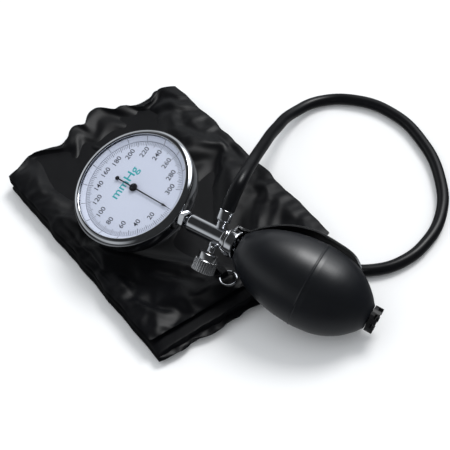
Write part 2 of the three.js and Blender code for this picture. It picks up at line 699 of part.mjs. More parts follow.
function portPlaced(geometry) {
  geometry.rotateZ(rad(PORT_AZIMUTH - CUFF_AZIMUTH));
  geometry.translate(CUFF_HALF - 2, PORT_ALONG, LAYER + LAYER_GAP / 2);
  return geometry;
}

function bandGeometry() {
  const band = plate(bandOutline(), -CUFF_WIDTH / 2, CUFF_WIDTH / 2, 6);
  band.rotateX(Math.PI / 2);
  const pocket = block([-CUFF_HALF - 10, -56, PITCH + 0.9], [CUFF_HALF - 12, 56, PITCH + LAYER - 0.9]);
  return cut(band, pocket, portPlaced(rod(5, -14, 20, 14, 'x')));
}

const bladderSlab = block([-CUFF_HALF + 2.5, -54, PITCH + 1.2], [CUFF_HALF - 13, 54, PITCH + LAYER - 1.2]);
add(cuff, 'cuff_band', bandGeometry(), nylon);
add(cuff, 'bladder', cut(bladderSlab, portPlaced(rod(5, -14, 20, 14, 'x'))), rubber);
add(cuff, 'hook_strip', block([-70, -50, 2 * PITCH - 1.3], [-20, 50, 2 * PITCH - 0.3]), fleece);
add(cuff, 'loop_strip', block([-75, -50, PITCH - 1.3], [25, 50, PITCH - 0.3]), fleece);
add(cuff, 'tube_sleeve', portPlaced(ring([
  [2.2, -12], [4.5, -12], [4.5, 8], [4.2, SLEEVE_END], [2.2, SLEEVE_END],
], 18, 'x')), rubber);

// Small hanging ring held in a sewn loop on the top layer.
const CUFF_TOP = 2 * PITCH + LAYER;
const RING_TUBE = 0.65;
const RING_REACH = 5.2;
const TAB_SHEET = 0.8;
const TAB_HALF = 2; // half the tab's width
const TAB_ROOM = 1.3; // clear height each side of the ring's wire
const RING_PIVOT = new THREE.Vector3(72, -5, CUFF_TOP + GAP + TAB_SHEET + TAB_ROOM);
const RING_TILT = Math.asin((RING_PIVOT.z - CUFF_TOP - RING_TUBE - GAP) / (2 * RING_REACH));

const hangRing = new THREE.TorusGeometry(RING_REACH, RING_TUBE, 8, 24);
hangRing.translate(RING_REACH, 0, 0);
hangRing.rotateY(RING_TILT);
hangRing.translate(RING_PIVOT.x, RING_PIVOT.y, RING_PIVOT.z);
add(cuff, 'hang_ring', closed(hangRing), chrome);

function tabGeometry() {
  const outer = TAB_ROOM + TAB_SHEET;
  const back = -RING_TUBE - GAP;
  const front = RING_TUBE + 0.9;
  const wrap = polygon([
    [back - 12, -outer], [front + TAB_SHEET, -outer], [front + TAB_SHEET, outer - 0.5],
    [front + TAB_SHEET - 0.5, outer], [back - 2, outer], [back - 12, -outer + TAB_SHEET + 0.4],
  ]);
  const slot = polygon([
    [back - 8, -TAB_ROOM], [front, -TAB_ROOM], [front, TAB_ROOM], [back - 1.6, TAB_ROOM],
  ]);
  const loop = cut(plate(wrap, -TAB_HALF, TAB_HALF), plate(slot, -TAB_HALF - 1, TAB_HALF + 1));
  loop.rotateX(Math.PI / 2);
  loop.translate(RING_PIVOT.x, RING_PIVOT.y, RING_PIVOT.z);
  return loop;
}

add(cuff, 'ring_tab', tabGeometry(), nylon);

// ---------------------------------------------------------------------- hose

const HOSE_ROUTE = [
  [35.8, -40.3, 61.9], [40.1, -36, 65.6], [48.2, -18.8, 61.5], [58.7, 11, 46.5], [71.5, 48.7, 24.5],
  [87, 77.6, 8.5], [105.6, 88.3, 4.2], [129.5, 82.8, 4.2], [150.5, 64.5, 4.2], [164.6, 32, 4.2],
  [168.1, -2.6, 4.2], [162, -32.8, 4.2], [147.4, -54.3, 4.2], [129.6, -66.1, 4.2], [113, -68.4, 4.2],
];

function hoseGeometry() {
  const out = new THREE.Vector3(0, Math.cos(rad(PORT_TURN)), Math.sin(rad(PORT_TURN)));
  const start = out.multiplyScalar(COLLAR_END + GAP).add(new THREE.Vector3(PORT_X, 0, 0));
  const reach = SLEEVE_END + GAP;
  const turn = rad(PORT_AZIMUTH - CUFF_AZIMUTH);
  const end = new THREE.Vector3(CUFF_HALF - 2 + reach * Math.cos(turn), PORT_ALONG + reach * Math.sin(turn), 0);
  end.z = LAYER + LAYER_GAP / 2;
  const route = HOSE_ROUTE.map((point) => new THREE.Vector3(...point));
  const path = new THREE.CatmullRomCurve3([valve.localToWorld(start), ...route, cuff.localToWorld(end)]);
  const round = polygon(Array.from({ length: HOSE_SIDES }, (_, k) => (
    polar(HOSE_DIAMETER / 2, k * 2 * Math.PI / HOSE_SIDES))));
  return closed(new THREE.ExtrudeGeometry(round, { steps: HOSE_STEPS, extrudePath: path }));
}

add(monitor, 'hose', hoseGeometry(), rubber);

export default monitor;
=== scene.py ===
"""A palm-type aneroid blood pressure monitor lying on its folded arm cuff.

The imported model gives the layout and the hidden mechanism. This script adds the surfaces that show: polished
metal, the printed dial, moulded rubber, the hose and the rumpled satin cuff. Lengths are millimetres in the
profiles and metres in Blender.
"""

import math

import bmesh
import bpy
from mathutils import Euler, Matrix, Vector, noise


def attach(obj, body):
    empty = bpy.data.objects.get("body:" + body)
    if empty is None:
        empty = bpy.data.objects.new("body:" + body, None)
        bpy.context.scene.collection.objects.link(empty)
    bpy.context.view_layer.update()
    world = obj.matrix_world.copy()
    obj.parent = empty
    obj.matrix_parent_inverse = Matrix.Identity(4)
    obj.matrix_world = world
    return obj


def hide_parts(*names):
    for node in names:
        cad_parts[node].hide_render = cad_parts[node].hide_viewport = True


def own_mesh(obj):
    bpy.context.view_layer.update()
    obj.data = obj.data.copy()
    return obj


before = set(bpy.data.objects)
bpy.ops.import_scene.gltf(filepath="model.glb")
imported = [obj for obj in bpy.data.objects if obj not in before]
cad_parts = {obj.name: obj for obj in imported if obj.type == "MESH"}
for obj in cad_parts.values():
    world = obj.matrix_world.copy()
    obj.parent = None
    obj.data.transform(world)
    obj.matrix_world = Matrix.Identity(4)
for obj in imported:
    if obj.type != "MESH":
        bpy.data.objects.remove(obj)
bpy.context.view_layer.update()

MM = 0.001


# ------------------------------------------------------------------ local frames


def local_frame(origin, azimuth, rise, roll):
    """+X points along the azimuth and the rise; the frame is then rolled about it. Origin in metres."""
    turn = Euler((math.radians(roll), -math.radians(rise), math.radians(azimuth)), "XYZ")
    return Matrix.Translation(origin) @ turn.to_matrix().to_4x4()


ROLL = 20.4
GAUGE = local_frame((-0.0232, -0.0039, 0.0428), -50.5, 2.7, ROLL)
VALVE = local_frame(GAUGE @ Vector((0.0465, 0, 0)), -43.4, -2.7, ROLL)
BULB = local_frame(VALVE @ Vector((0.037, 0, 0)), -35.3, -18.2, ROLL)
CUFF = local_frame((-0.0063, 0.0056, 0), -63.5, 0, 0)
PORT_X = 21
PORT_TURN = math.radians(22)
PORTS = VALVE @ Matrix.Translation((PORT_X * MM, 0, 0)) @ Matrix.Rotation(PORT_TURN, 4, "X")
OUTLET = PORTS @ Matrix.Rotation(math.pi / 2, 4, "Z")
RELEASE = PORTS @ Matrix.Rotation(-math.pi / 2, 4, "Z")


# ------------------------------------------------------------------ shader maths


class Signal:
    """A shader value that can be written as ordinary maths."""

    def __init__(self, tree, value):
        self.tree = tree
        self.value = value

    def _node(self, operation, *values):
        node = self.tree.nodes.new("ShaderNodeMath")
        node.operation = operation
        for socket, value in zip(node.inputs, values):
            value = value.value if isinstance(value, Signal) else value
            if isinstance(value, (int, float)):
                socket.default_value = value
            else:
                self.tree.links.new(value, socket)
        return Signal(self.tree, node.outputs[0])

    def __add__(self, other):
        return self._node("ADD", self, other)

    def __radd__(self, other):
        return self._node("ADD", other, self)

    def __sub__(self, other):
        return self._node("SUBTRACT", self, other)

    def __rsub__(self, other):
        return self._node("SUBTRACT", other, self)

    def __mul__(self, other):
        return self._node("MULTIPLY", self, other)

    def __rmul__(self, other):
        return self._node("MULTIPLY", other, self)

    def __truediv__(self, other):
        return self._node("DIVIDE", self, other)

    def __rtruediv__(self, other):
        return self._node("DIVIDE", other, self)

    def __pow__(self, other):
        return self._node("POWER", self, other)

    def __abs__(self):
        return self._node("ABSOLUTE", self)

    def sin(self):
        return self._node("SINE", self)

    def clamp(self):
        held = self._node("MAXIMUM", self, 0.0)
        return held._node("MINIMUM", held, 1.0)

    def between(self, low, high):
        """0 below low, 1 above high, smooth in between."""
        t = ((self - low) / (high - low)).clamp()
        return t * t * (3.0 - 2.0 * t)


class Shader:
    """A material or world tree with short ways to add nodes."""

    def __init__(self, tree):
        self.tree = tree

    def node(self, kind, settings=None, **inputs):
        node = self.tree.nodes.new(kind)
        for key, value in (settings or {}).items():
            setattr(node, key, value)
        for key, value in inputs.items():
            self.feed(node.inputs[key.replace("_", " ")], value)
        return node

    def feed(self, socket, value):
        value = value.value if isinstance(value, Signal) else value
        if isinstance(value, bpy.types.NodeSocket):
            self.tree.links.new(value, socket)
        else:
            socket.default_value = value

    def signal(self, socket):
        return Signal(self.tree, socket)

    def position(self):
        return self.node("ShaderNodeTexCoord").outputs["Object"]

    def axes(self, vector):
        split = self.node("ShaderNodeSeparateXYZ", Vector=vector)
        return [self.signal(output) for output in split.outputs]

    def noise(self, vector, scale, detail=3.0, roughness=0.5):
        made = self.node("ShaderNodeTexNoise", Vector=vector, Scale=scale, Detail=detail, Roughness=roughness)
        return self.signal(made.outputs["Fac"])

    def mix(self, factor, first, second):
        made = self.node("ShaderNodeMix", {"data_type": "RGBA"})
        self.feed(made.inputs["Factor"], factor)
        self.feed(made.inputs[6], first)
        self.feed(made.inputs[7], second)
        return made.outputs[2]

    def bump(self, height, distance, strength=1.0):
        made = self.node("ShaderNodeBump", Strength=strength, Distance=distance)
        self.feed(made.inputs["Height"], height)
        return made.outputs["Normal"]


def material(name, color, roughness, metallic=0.0, coat=0.0, specular=0.5):
    made = bpy.data.materials.new(name)
    made.use_nodes = True
    bsdf = made.node_tree.nodes["Principled BSDF"]
    bsdf.inputs["Base Color"].default_value = (*color, 1.0)
    bsdf.inputs["Roughness"].default_value = roughness
    bsdf.inputs["Metallic"].default_value = metallic
    bsdf.inputs["Coat Weight"].default_value = coat
    bsdf.inputs["Specular IOR Level"].default_value = specular
    made.diffuse_color = (*color, 1.0)
    return made, Shader(made.node_tree), bsdf


def polished(name, color, roughness):
    made, shader, bsdf = material(name, color, roughness, metallic=1.0)
    wear = shader.noise(shader.position(), 240.0, 4.0)
    shader.feed(bsdf.inputs["Roughness"], roughness + 0.08 * wear.between(0.45, 0.8))
    return made


CHROME = polished("chrome_polished", (0.84, 0.86, 0.9), 0.06)
CHROME_SATIN = polished("chrome_satin", (0.82, 0.83, 0.85), 0.16)
BRASS = polished("brass_machined", (0.62, 0.46, 0.22), 0.25)
STEEL = polished("steel_machined", (0.55, 0.56, 0.58), 0.22)
DIAL = material("dial_white", (0.70, 0.715, 0.78), 0.5, specular=0.3)[0]
INK = material("dial_ink", (0.035, 0.035, 0.05), 0.5)[0]
FAINT_INK = material("dial_fine_ink", (0.09, 0.10, 0.13), 0.5)[0]
TEAL = material("dial_teal", (0.02, 0.42, 0.42), 0.5)[0]
NEEDLE = material("needle_black", (0.012, 0.012, 0.014), 0.35)[0]
FLEECE = material("fleece_black", (0.015, 0.015, 0.018), 0.9)[0]
PLASTIC = material("plastic_black", (0.006, 0.006, 0.007), 0.42, specular=0.3)[0]
# Flat black for the palm rest's inner face: a painted reflection of the black bulb in the chrome, not a
# lining.
PAINTED_BULB_REFLECTION = material("palm_rest_inside_painted_reflection", (0.004, 0.004, 0.005), 0.4, specular=0.25)[0]


def lens_material():
    made, shader, bsdf = material("lens_clear", (0.9, 0.95, 1.0), 0.02)
    clear = shader.node("ShaderNodeBsdfTransparent", Color=(0.97, 0.98, 1.0, 1.0))
    gloss = shader.node("ShaderNodeBsdfGlossy", Color=(1.0, 1.0, 1.0, 1.0), Roughness=0.03)
    facing = shader.signal(shader.node("ShaderNodeLayerWeight", Blend=0.5).outputs["Facing"])
    both = shader.node("ShaderNodeMixShader")
    shader.feed(both.inputs[0], 0.035 + 0.5 * facing**4.0)
    shader.feed(both.inputs[1], clear.outputs[0])
    shader.feed(both.inputs[2], gloss.outputs[0])
    shader.feed(made.node_tree.nodes["Material Output"].inputs["Surface"], both.outputs[0])
    return made


def rubber_material(name, color, roughness, grain, depth, specular):
    made, shader, bsdf = material(name, color, roughness, specular=specular)
    position = shader.position()
    fine = shader.noise(position, grain, 3.0, 0.6)
    broad = shader.noise(position, 60.0, 2.0)
    shader.feed(bsdf.inputs["Roughness"], roughness - 0.06 + 0.12 * broad)
    shader.feed(bsdf.inputs["Normal"], shader.bump(fine, depth, 0.5))
    return made


def satin_material():
    """Calendered nylon: black, with a soft broad sheen, a fine weave and a shallow crumple."""
    made, shader, bsdf = material("nylon_satin", (0.0018, 0.002, 0.003), 0.4, specular=0.22)
    position = shader.position()
    along, across, _ = shader.axes(position)
    weave = (along * 5200.0).sin() * (across * 5200.0).sin()
    crumple = shader.noise(position, 26.0, 3.0, 0.5)
    shader.feed(bsdf.inputs["Roughness"], 0.36 + 0.12 * crumple)
    height = crumple + 0.02 * weave
    shader.feed(bsdf.inputs["Normal"], shader.bump(height, 0.0014, 0.5))
    bsdf.inputs["Sheen Weight"].default_value = 0.02
    bsdf.inputs["Sheen Roughness"].default_value = 0.35
    bsdf.inputs["Sheen Tint"].default_value = (0.7, 0.8, 1.0, 1.0)
    return made


LENS = lens_material()
BULB_RUBBER = rubber_material("bulb_rubber", (0.0035, 0.0045, 0.007), 0.37, 1500.0, 0.00006, 0.7)
HOSE_RUBBER = rubber_material("hose_rubber", (0.004, 0.0043, 0.0055), 0.34, 700.0, 0.00005, 0.3)
SATIN = satin_material()


# ------------------------------------------------------------------ mesh helpers


def piece(name, mesh, body, look, replaces=(), sharp=35.0):
    """A finished surface in the row frame, riding a body and standing for CAD nodes."""
    mesh.name = name
    if look is not None:
        mesh.materials.clear()
        mesh.materials.append(look)
    mesh.shade_smooth()
    mesh.set_sharp_from_angle(angle=math.radians(sharp))
    made = bpy.data.objects.new(name, mesh)
    bpy.context.collection.objects.link(made)
    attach(made, body)
    if replaces:
        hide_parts(*replaces)
    return made


def mesh_of(vertices, faces, transform=None):
    mesh = bpy.data.meshes.new("piece")
    mesh.from_pydata([tuple(v) for v in vertices], [], faces)
    if transform is not None:
        mesh.transform(transform)
    mesh.validate()
    mesh.update()
    return mesh


def rounded(profile, amount, steps=3):
    """The closed outline with each corner eased by a small arc; corners on the axis stay."""
    eased = []
    count = len(profile)
    for i, corner in enumerate(profile):
        here = Vector(corner)
        before = Vector(profile[i - 1]) - here
        after = Vector(profile[(i + 1) % count]) - here
        if here.x < 1e-6 or before.length < 1e-6 or after.length < 1e-6:
            eased.append(here)
            continue
        reach = min(amount, 0.45 * before.length, 0.45 * after.length)
        start = here + before.normalized() * reach
        end = here + after.normalized() * reach
        for k in range(steps + 1):
            t = k / steps
            eased.append(start * (1 - t) ** 2 + here * (2 * t * (1 - t)) + end * t**2)
    return eased


def turned_mesh(profile, place, axis="x", segments=96, ease=0.25):
    """A closed profile of (radius, height) in mm, turned about the local X or Z axis."""
    outline = rounded(profile, ease) if ease else [Vector(p) for p in profile]
    made = bmesh.new()
    columns = []
    for radius, height in outline:
        if radius < 1e-6:
            columns.append([made.verts.new(axis_point(axis, 0, 0, height))] * segments)
            continue
        ring = []
        for k in range(segments):
            angle = 2 * math.pi * k / segments
            ring.append(made.verts.new(axis_point(axis, radius, angle, height)))
        columns.append(ring)
    for i, ring in enumerate(columns):
        following = columns[(i + 1) % len(columns)]
        for k in range(segments):
            corners = [ring[k], ring[(k + 1) % segments], following[(k + 1) % segments], following[k]]
            unique = list(dict.fromkeys(corners))
            if len(unique) > 2:
                made.faces.new(unique)
    bmesh.ops.recalc_face_normals(made, faces=made.faces)
    mesh = bpy.data.meshes.new("turned")
    made.to_mesh(mesh)
    made.free()
    mesh.transform(place)
    return mesh


def axis_point(axis, radius, angle, height):
    across = (radius * math.cos(angle) * MM, radius * math.sin(angle) * MM)
    return (height * MM, *across) if axis == "x" else (*across, height * MM)


def joined(meshes):
    made = bmesh.new()
    for mesh in meshes:
        made.from_mesh(mesh)
        bpy.data.meshes.remove(mesh)
    result = bpy.data.meshes.new("joined")
    made.to_mesh(result)
    made.free()
    return result


# ------------------------------------------------------------------ repeats


def repeat_tree():
    """Turns copies of a piece about Z: count of them, from a first angle, by a step."""
    tree = bpy.data.node_groups.new("turned_repeat", "GeometryNodeTree")
    sockets = {}
    for name, kind in [("Piece", "NodeSocketObject"), ("Count", "NodeSocketInt"), ("First", "NodeSocketFloat"),
                       ("Step", "NodeSocketFloat"), ("Finish", "NodeSocketMaterial")]:
        sockets[name] = tree.interface.new_socket(name, in_out="INPUT", socket_type=kind).identifier
    tree.interface.new_socket("Geometry", in_out="OUTPUT", socket_type="NodeSocketGeometry")
    nodes, link = tree.nodes, tree.links.new
    given, result = nodes.new("NodeGroupInput"), nodes.new("NodeGroupOutput")
    line, info = nodes.new("GeometryNodeMeshLine"), nodes.new("GeometryNodeObjectInfo")
    line.inputs["Offset"].default_value = (0, 0, 0)
    link(given.outputs["Count"], line.inputs["Count"])
    link(given.outputs["Piece"], info.inputs["Object"])
    angle, turn = nodes.new("ShaderNodeMath"), nodes.new("ShaderNodeCombineXYZ")
    angle.operation = "MULTIPLY_ADD"
    link(nodes.new("GeometryNodeInputIndex").outputs[0], angle.inputs[0])
    link(given.outputs["Step"], angle.inputs[1])
    link(given.outputs["First"], angle.inputs[2])
    link(angle.outputs[0], turn.inputs["Z"])
    copies, real = nodes.new("GeometryNodeInstanceOnPoints"), nodes.new("GeometryNodeRealizeInstances")
    paint = nodes.new("GeometryNodeSetMaterial")
    link(line.outputs["Mesh"], copies.inputs["Points"])
    link(info.outputs["Geometry"], copies.inputs["Instance"])
    link(turn.outputs[0], copies.inputs["Rotation"])
    link(copies.outputs[0], real.inputs[0])
    link(real.outputs[0], paint.inputs["Geometry"])
    link(given.outputs["Finish"], paint.inputs["Material"])
    link(paint.outputs[0], result.inputs[0])
    return tree, sockets


REPEAT, REPEAT_SOCKETS = repeat_tree()


def repeated(mesh, count, first, step, look):
    """The mesh of a turned repeat, as plain geometry."""
    source = bpy.data.objects.new("repeat_piece", mesh)
    holder = bpy.data.objects.new("repeat_holder", bpy.data.meshes.new("repeat_holder"))
    for item in (source, holder):
        bpy.context.collection.objects.link(item)
    modifier = holder.modifiers.new("repeat", "NODES")
    modifier.node_group = REPEAT
    for name, value in {"Piece": source, "Count": count, "First": first, "Step": step, "Finish": look}.items():
        modifier[REPEAT_SOCKETS[name]] = value
    bpy.context.view_layer.update()
    graph = bpy.context.evaluated_depsgraph_get()
    result = bpy.data.meshes.new_from_object(holder.evaluated_get(graph))
    for item in (source, holder):
        bpy.data.objects.remove(item)
    return result


def bar(length_from, length_to, width, low, high):
    """A slim block along +X, in mm."""
    corners = [(x * MM, y * MM, z * MM) for x in (length_from, length_to) for y in (-width / 2, width / 2)
               for z in (low, high)]
    faces = [(0, 1, 3, 2), (4, 6, 7, 5), (0, 4, 5, 1), (2, 3, 7, 6), (0, 2, 6, 4), (1, 5, 7, 3)]
    return mesh_of(corners, faces)


# ------------------------------------------------------------------ gauge


DIAL_FACE = 3.5


def build_gauge():
    bezel = [(36.4, 6.9), (36.4, 7.5), (37.2, 7.8), (38.9, 7.3), (40.3, 6.1), (41.0, 4.8), (41.0, 3.7),
             (39.0, 3.7), (39.0, 5.4), (38.3, 5.4), (38.3, 6.9)]
    piece("bezel", turned_mesh(bezel, GAUGE, "z", 128, 0.5), "monitor", CHROME, ["gauge_bezel"], 50)
    case = [(0, -17.5), (25, -17.5), (31.5, -15.6), (36.8, -11.2), (39.6, -6.2), (40.2, -3.6), (40.2, 3.4),
            (38.7, 3.4), (38.7, 5), (37.3, 5), (37.3, -3.6), (35.2, -10), (30.4, -14.2), (24.5, -16.1),
            (0, -16.1)]
    piece("case", turned_mesh(case, GAUGE, "z", 128, 1.2), "monitor", CHROME, ["gauge_case"], 50)
    lens = [(0, 5.8), (38, 5.8), (38, 6.5), (30, 6.62), (0, 6.7)]
    piece("lens", turned_mesh(lens, GAUGE, "z", 96, 0.15), "monitor", LENS, ["gauge_lens"])
    plate = [(1.5, 3), (33, 3), (33, DIAL_FACE), (1.5, DIAL_FACE)]
    piece("dial", turned_mesh(plate, GAUGE, "z", 96, 0.1), "monitor", DIAL, ["dial_plate"])
    rise = [(33.3, 3), (36.9, 3), (36.9, 4.9), (36.2, 5.4), (33.3, 3.7)]
    piece("scale", turned_mesh(rise, GAUGE, "z", 128, 0.15), "monitor", DIAL, ["scale_ring"])


DIAL_STEP = math.radians(22.35)  # for each 20 mmHg, clockwise from the stem


def text_mesh(words, size, radius, angle, look, bold=0.0):
    """Upright lettering on the dial: its top faces away from the stem."""
    curve = bpy.data.curves.new("lettering", "FONT")
    curve.body = words
    curve.size = size * MM
    curve.align_x = "CENTER"
    curve.align_y = "CENTER"
    curve.offset = bold * MM
    curve.resolution_u = 4
    made = bpy.data.objects.new("lettering", curve)
    bpy.context.collection.objects.link(made)
    bpy.context.view_layer.update()
    mesh = bpy.data.meshes.new_from_object(made.evaluated_get(bpy.context.evaluated_depsgraph_get()))
    bpy.data.objects.remove(made)
    mesh.materials.clear()
    mesh.materials.append(look)
    height = (DIAL_FACE + 0.04) * MM
    place = Matrix.Translation((radius * math.cos(angle) * MM, radius * math.sin(angle) * MM, height))
    mesh.transform(GAUGE @ place @ Matrix.Rotation(math.pi / 2, 4, "Z"))
    return mesh


def build_dial_print():
    numerals = [text_mesh(str(20 * k), 5.0, 25.4, -k * DIAL_STEP, INK, 0.04) for k in range(1, 16)]
    piece("numerals", joined(numerals), "monitor", INK)
    piece("unit_word", text_mesh("mmHg", 9.0, 8.2, math.pi, TEAL, 0.1), "monitor", TEAL)
    fine = repeated(bar(30.3, 32.6, 0.24, DIAL_FACE, DIAL_FACE + 0.04), 151, 0, -DIAL_STEP / 10, FAINT_INK)
    medium = repeated(bar(29.4, 32.6, 0.34, DIAL_FACE, DIAL_FACE + 0.05), 31, 0, -DIAL_STEP / 2, FAINT_INK)
    fine.transform(GAUGE)
    medium.transform(GAUGE)
    piece("fine_marks", fine, "monitor", FAINT_INK)
    piece("medium_marks", medium, "monitor", FAINT_INK)
    slope = bar(33.5, 36.1, 0.26, 0, 0.06)
    slope.transform(Matrix.Translation((0, 0, 3.84 * MM)) @ shear_up(0.586, 33.5))
    long = repeated(slope, 16, 0, -DIAL_STEP, INK)
    long.transform(GAUGE)
    piece("long_marks", long, "monitor", INK)


def shear_up(slope, start):
    """Raises points with their distance beyond a radius, so that a mark follows a cone."""
    shear = Matrix.Identity(4)
    shear[2][0] = slope
    shear[2][3] = -slope * start * MM
    return shear


# ------------------------------------------------------------------ valve


def build_valve():
    stem = [(1, 31.4), (2, 31.4), (2, 36.8), (2.6, 37.2), (2.6, 48.5), (1, 48.5)]
    piece("stem", turned_mesh(stem, GAUGE, "x", 32), "monitor", CHROME, ["gauge_stem"])
    body = [(3.3, 0.5), (4.2, 0.4), (5.6, 1.8), (5.6, 26.5), (6.8, 26.8), (6.8, 29.2), (3.3, 29.2)]
    piece("barrel", turned_mesh(body, VALVE, "x", 64, 0.45), "monitor", CHROME, ["valve_body"])
    neck = [(1.2, 4.6), (3.0, 4.6), (3.0, 9.2), (2.6, 9.2), (2.6, 16.4), (1.2, 16.4)]
    piece("outlet_neck", turned_mesh(neck, OUTLET, "x", 48, 0.3), "monitor", CHROME, ["hose_barb"])
    collar = [(2.9, 9.5), (4.1, 9.5), (4.7, 10.2), (4.7, 16.1), (4.3, 16.6), (2.9, 16.6)]
    piece("collar", turned_mesh(collar, OUTLET, "x", 64, 0.4), "monitor", CHROME, ["barb_collar"])
    gland = [(1.5, 4.6), (2.9, 4.6), (2.9, 7.2), (2.6, 7.4), (2.6, 10.9), (1.5, 10.9)]
    piece("gland", turned_mesh(gland, RELEASE, "x", 48, 0.3), "monitor", CHROME, ["release_gland"])
    ring = [(7, 30.9), (8.3, 30.9), (8.8, 31.5), (8.8, 36.2), (8.4, 36.8), (7, 36.8)]
    piece("bulb_ring", turned_mesh(ring, VALVE, "x", 64, 0.4), "monitor", CHROME, ["connector_ring"])
    build_knob()


def build_knob():
    step = [(1.5, 11.6), (5.6, 11.6), (6, 12.1), (6, 16.1), (1.5, 16.1)]
    grip = [(1.5, 16.0), (6.4, 16.0), (6.75, 16.4), (6.75, 23.6), (6.2, 24.2), (0, 24.2), (0, 23)]
    rib = turned_mesh([(0.0, 16.3), (0.45, 16.3), (0.45, 23.7), (0.0, 23.7)], Matrix.Identity(4), "x", 8, 0.15)
    rib.transform(Matrix.Rotation(-math.pi / 2, 4, "Y"))
    rib.transform(Matrix.Translation((6.72 * MM, 0, 0)))
    ribs = repeated(rib, 30, 0, 2 * math.pi / 30, CHROME)
    ribs.transform(RELEASE @ Matrix.Rotation(math.pi / 2, 4, "Y"))
    parts = [turned_mesh(step, RELEASE, "x", 64, 0.4), turned_mesh(grip, RELEASE, "x", 64, 0.4), ribs]
    piece("knob", joined(parts), "knob", CHROME_SATIN, ["release_knob"], 60)


# ------------------------------------------------------------------ palm rest

# Along the valve, radius about the bulb, width, in mm.
SPOON_STATIONS = [
    (33.5, 10.6, 9.2), (36.6, 11.1, 9), (39, 11.7, 8.8), (41.5, 14.1, 9.4), (44.2, 16.8, 11),
    (47.9, 19.8, 14.5), (52.7, 23.2, 19.5), (57.9, 26, 24), (63.3, 28.1, 27.5), (69, 29.7, 30),
    (75, 30.6, 31.6), (81.4, 30.5, 32.4), (87, 30.1, 32.2), (91, 29.8, 30.8), (94, 29.4, 27.6),
    (96.2, 28.9, 22.6), (97.6, 28.5, 16), (98.4, 28.2, 7),
]
SPOON_RIM_TURN = math.radians(14)
SPOON_FULL = 32.4
SPOON_FLARE = 2.6  # the lower rim stands further out than the upper one
SPOON_WIDEST = 85
SPOON_THICKNESS = 1.1


def smooth_stations(stations, count):
    """The stations resampled along a smooth curve through them."""
    result = []
    last = len(stations) - 1
    for i in range(count + 1):
        at = last * i / count
        k = min(int(at), last - 1)
        t = at - k
        four = [Vector(stations[max(0, min(last, j))]) for j in (k - 1, k, k + 1, k + 2)]
        a, b, c, d = four
        spline = 2 * b + (c - a) * t + (2 * a - 5 * b + 4 * c - d) * t**2 + (3 * b - a - 3 * c + d) * t**3
        result.append(spline / 2)
    return result


def build_spoon():
    slope = (VALVE.inverted() @ BULB).to_3x3().col[0]
    rows, columns = 72, 24
    stations = smooth_stations(SPOON_STATIONS, rows)
    made = bmesh.new()
    sides = []
    for depth in (0, SPOON_THICKNESS):
        grid = []
        for station, radius, width in stations:
            beyond = max(0.0, station - 37) / slope.x
            drop = (SPOON_FULL - width) / 2 if station > SPOON_WIDEST else 0
            line = []
            for c in range(columns + 1):
                across = c / columns
                angle = SPOON_RIM_TURN - (drop + across * width) / radius
                reach = radius + SPOON_FLARE * across - depth
                line.append(made.verts.new((station * MM, (slope.y * beyond + reach * math.cos(angle)) * MM,
                                            (slope.z * beyond + reach * math.sin(angle)) * MM)))
            grid.append(line)
        sides.append(grid)
    outer, inner = sides
    for r in range(rows):
        for c in range(columns):
            made.faces.new([outer[r][c], outer[r + 1][c], outer[r + 1][c + 1], outer[r][c + 1]])
            # The inner faces take the flat black, a painted reflection of the bulb where the chrome would
            # mirror it.
            painted_reflection_face = made.faces.new([inner[r][c], inner[r][c + 1], inner[r + 1][c + 1], inner[r + 1][c]])
            painted_reflection_face.material_index = 1
        for c, flip in ((0, False), (columns, True)):
            wall = [outer[r][c], inner[r][c], inner[r + 1][c], outer[r + 1][c]]
            made.faces.new(wall[::-1] if flip else wall)
    for c in range(columns):
        made.faces.new([outer[0][c], outer[0][c + 1], inner[0][c + 1], inner[0][c]])
        made.faces.new([outer[rows][c], inner[rows][c], inner[rows][c + 1], outer[rows][c + 1]])
    bmesh.ops.recalc_face_normals(made, faces=made.faces)
    edges = [e for e in made.edges if e.calc_face_angle(0) > 1.0]
    bmesh.ops.bevel(made, geom=edges, offset=0.35 * MM, segments=2, affect="EDGES", profile=0.7)
    mesh = bpy.data.meshes.new("spoon")
    made.to_mesh(mesh)
    made.free()
    mesh.transform(VALVE)
    washer = turned_mesh([(3.2, 29.5), (8.2, 29.5), (8.2, 30.6), (3.2, 30.6)], VALVE, "x", 64, 0.25)
    arm = bar(29.5, 30.6, 9.2, 0, 4.3)
    arm.transform(Matrix.Translation((0, 0, 6 * MM)))
    strap = bar(29.5, 35.2, 9.2, 9.2, 10.3)
    for part in (arm, strap):
        part.transform(VALVE @ Matrix.Rotation(math.radians(-22 - 90), 4, "X"))
    plate = joined([mesh, washer, arm, strap])
    plate.materials.append(CHROME_SATIN)
    # Second finish: the flat black painted on the inner face as the bulb's reflection.
    plate.materials.append(PAINTED_BULB_REFLECTION)
    piece("palm_rest", plate, "monitor", None, ["spoon"], 30)


# ------------------------------------------------------------------ bulb


def build_bulb():
    outside = [(9.6, 1.6), (12.3, 4), (15.8, 8.6), (19.6, 15.4), (22.9, 24.5), (25.3, 35), (26.2, 45)]
    beyond = [(26.35, 51), (25.0, 62), (22.4, 70), (18.4, 77), (13.2, 83), (8.9, 86.6)]
    seam = [(26.3, 47.1), (26.62, 47.45), (26.62, 48.1), (26.3, 48.45)]
    smooth = [tuple(p) for p in smooth_stations([Vector(p).to_3d() for p in outside], 30)]
    smooth = [(r, x) for r, x, _ in smooth]
    after = [(p.x, p.y) for p in smooth_stations([Vector(p).to_3d() for p in beyond], 30)]
    shell = [(7.4, 0.4), (8.7, 0.5), *smooth, *seam, *after, (7.6, 87.8), (5.1, 87.8), (5.1, 80), (10, 79),
             (20, 66), (23.6, 50), (20, 26), (13, 10.5), (7.4, 6)]
    mesh = turned_mesh(shell, BULB, "x", 128, 0.22)
    shown = piece("squeeze_bulb", mesh, "monitor", BULB_RUBBER, ["bulb"], 60)
    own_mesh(shown)


# ------------------------------------------------------------------ hose

